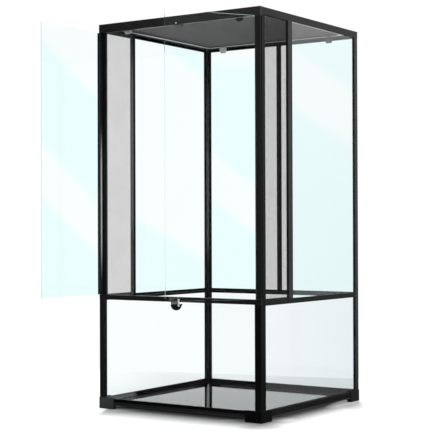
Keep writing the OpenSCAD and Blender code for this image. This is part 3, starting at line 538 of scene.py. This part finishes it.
def wire_cloth(lo, hi, thin, pitch, radius, sides=6):
    """Points and faces of two crossing layers of straight round wires that fill the box lo..hi,
    whose thin axis is `thin`. A wire is a prism: the points centre + radius * (cos t, sin t) at its
    two ends, t in `sides` steps. The layers' middles lie 1.9 radii apart, so the wires bite a little."""
    lo, hi = np.array(lo), np.array(hi)
    long_axes = [a for a in range(3) if a != thin]
    turn = np.arange(sides) * 2 * np.pi / sides
    ring = np.arange(sides)
    points, faces, start = [], [], 0
    for layer, (run, step) in enumerate((long_axes, long_axes[::-1])):
        count = int((hi[step] - lo[step]) / pitch)
        first = (hi[step] + lo[step] - (count - 1) * pitch) / 2
        grid = np.zeros((count, 2, sides, 3))
        grid[:, 0, :, run], grid[:, 1, :, run] = lo[run], hi[run]
        grid[..., step] = first + pitch * np.arange(count)[:, None, None] + radius * np.cos(turn)
        middle = (lo[thin] + hi[thin]) / 2 + (layer - 0.5) * 1.9 * radius
        grid[..., thin] = middle + radius * np.sin(turn)
        points.append(grid.reshape(-1, 3))
        base = start + np.arange(count)[:, None] * 2 * sides
        quads = np.stack([base + ring, base + (ring + 1) % sides,
                          base + sides + (ring + 1) % sides, base + sides + ring], -1).reshape(-1, 4)
        caps = np.concatenate([base + ring[::-1], base + sides + ring])
        inside_out = np.cross(np.eye(3)[step], np.eye(3)[thin]) @ np.eye(3)[run] < 0
        if inside_out:
            quads, caps = quads[:, ::-1], caps[:, ::-1]
        faces += quads.tolist() + caps.tolist()
        start += count * 2 * sides
    return np.concatenate(points).tolist(), faces


# The two strips are toned apart as painted light and shade: the left one pale, the right one dark.
for hand, tone in (("left", grey(0.43)), ("right", (0.052, 0.051, 0.052))):
    wires = coated(f"vent_wire_{hand}", tone, 0.5, 0.3, grain=3000.0, relief=0.1, wear_and_sheen=0.0, Metallic=0.4)
    low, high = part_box(f"vent_mesh_{hand}")
    strip = new_piece(f"vent_wires_{hand}", *wire_cloth(low, high, X, WIRE_PITCH, WIRE_RADIUS), wires)
    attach(strip, "cabinet")
    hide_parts(f"vent_mesh_{hand}")


# ---- Doors -------------------------------------------------------------------------
# Each door is a frameless 4 mm pane let into a narrow black hinge stile. Steel pins at
# its ends turn in nylon bushes in the header and the sill rail.
LEFT_OPEN, RIGHT_OPEN = math.radians(87.5), math.radians(57)
LEFT_ALONG = (math.cos(LEFT_OPEN), -math.sin(LEFT_OPEN), 0.0)
RIGHT_ALONG = (-math.cos(RIGHT_OPEN), -math.sin(RIGHT_OPEN), 0.0)
GROUND = (0.66, 0.70, 0.70)
finish_nodes(glazed("glass_left_door", CYAN, PALE, ((LEFT_ALONG, 0.907, 0.587, 0.107, 0.02),
                                                    (LEFT_ALONG, 0.373, 0.64, 0.080, 0.02)),
                    ground=(GROUND, LEFT_ALONG), ior=THIN_GLASS), "left_door_glass")
finish_nodes(glazed("glass_right_door", (0.997, 1.0, 1.0), ground=(GROUND, RIGHT_ALONG), ior=THIN_GLASS),
             "right_door_glass")
# The left stile has a painted highlight along its inner face over the middle of its height, and is toned
# lighter than the right one as painted light.
STILE_GLEAM = ((X, -0.2948, -0.290, 0.0002), (Y, -0.3062, -0.2995, 0.0006), (Z, 0.56, 0.74, 0.17))
finish_nodes(coated("stile_black_left", (0.015, 0.0175, 0.018), 0.30, 0.16,
                    zones=(((0.60, 0.61, 0.61), STILE_GLEAM),)), "left_door_stile")
finish_nodes(coated("stile_black_right", (0.006, 0.0062, 0.007), 0.30, 0.16), "right_door_stile")
nylon = coated("matt_nylon", grey(0.04), 0.55, 0.3, grain=2000.0, relief=0.15, wear_and_sheen=0.0)
finish_nodes(nylon, "hinge_bushes")


# ---- Lock --------------------------------------------------------------------------
# A satin metal clamp grips the lower corner of the right pane. Its spindle carries a
# gloss black turn lever with a bright thumb fin outside, and the cam inside.
clamp_metal = coated("satin_metal", (0.10, 0.095, 0.10), 0.4, 0.4, grain=2600.0, relief=0.1, wear_and_sheen=0.04,
                     Metallic=0.4)
finish_nodes(clamp_metal, "lock_clamp")
dark_steel = coated("dark_steel", (0.030, 0.030, 0.032), 0.35, 0.3, grain=2400.0, relief=0.05, wear_and_sheen=0.02,
                    Metallic=0.3)
finish_nodes(dark_steel, "lock_spindle")
# The lever is paler in a thin band at one height: a painted reflection.
lever_black = coated("gloss_black", grey(0.006), 0.18, 0.2, grain=700.0, relief=0.03, wear_and_sheen=0.02,
                     zones=(((0.16, 0.16, 0.165), ((Z, 0.3555, 0.3650, 0.0004),)),))
finish_nodes(lever_black, "lock_lever")
bright_fin = coated("polished_fin", (0.85, 0.85, 0.86), 0.30, 0.5, grain=2600.0, relief=0.02, wear_and_sheen=0.0,
                    Metallic=0.25)
finish_nodes(bright_fin, "lock_fin")


# ---- Top screen and clips ----------------------------------------------------------
# The top lifts out: a light satin frame with wire mesh pressed in under a rubber
# spline. Four grey turn clips hang through the frame and catch under the ledge.
screen_metal = coated("screen_metal", (0.60, 0.60, 0.605), 0.40, 0.5, grain=2200.0, relief=0.08, wear_and_sheen=0.03,
                      Metallic=0.25)
# The frame's inner lip is dark on its left, front and rear bars, and the right bar is brighter than
# the rest, as painted light.
LIP, OUTER_BAR, LIP_TONE = 0.2635, 0.2650, 0.06
RIGHT_BAR, RIGHT_BAR_TONE = (0.245, 0.255), 1.5
tree = screen_metal.node_tree
xyz = parts(tree, add(tree, "ShaderNodeTexCoord").outputs["Object"])
reach = calc(tree, "MAXIMUM", calc(tree, "MULTIPLY", xyz[X], -1.0), calc(tree, "ABSOLUTE", xyz[Y]))
tone = calc(tree, "MAXIMUM", smooth(tree, reach, LIP, OUTER_BAR, LIP_TONE, 1.0),
            smooth(tree, xyz[X], *RIGHT_BAR, 0.0, RIGHT_BAR_TONE))
surface = next(node for node in tree.nodes if node.type == "BSDF_PRINCIPLED")
coat = next(node for node in tree.nodes if node.type == "GROUP")
tree.links.new(scaled(tree, coat.outputs["Colour"], tone), surface.inputs["Base Color"])
finish_nodes(screen_metal, "screen_frame")
# The cloth is a little paler to the rear and to the left, as painted light.
top_wires = coated("top_wire", (0.146, 0.142, 0.144), 0.5, 0.3, grain=3000.0, relief=0.1, wear_and_sheen=0.0,
                   Metallic=0.4, zones=(((0.160, 0.157, 0.159), ((Y, 0.15, 0.50, 0.20),)),
                                        ((0.185, 0.182, 0.184), ((X, -0.40, -0.09, 0.08),))))
low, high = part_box("screen_mesh")
cloth = new_piece("screen_wires", *wire_cloth(low, high, Z, WIRE_PITCH, WIRE_RADIUS), top_wires)
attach(cloth, "top_screen")
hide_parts("screen_mesh")
# The clips are toned one by one as painted light and shade: the left ones light grey, the right ones nearly
# black.
for label, tone, names in (("left", 0.50, ("clip_front_left", "clip_rear_left")),
                           ("front", 0.04, ("clip_front_right",)),
                           ("rear", 0.06, ("clip_rear_right",))):
    clip_grey = coated(f"clip_grey_{label}", (tone, tone, tone * 1.02), 0.45, 0.4, grain=1600.0,
                       relief=0.12, wear_and_sheen=0.05)
    finish_nodes(clip_grey, *names)
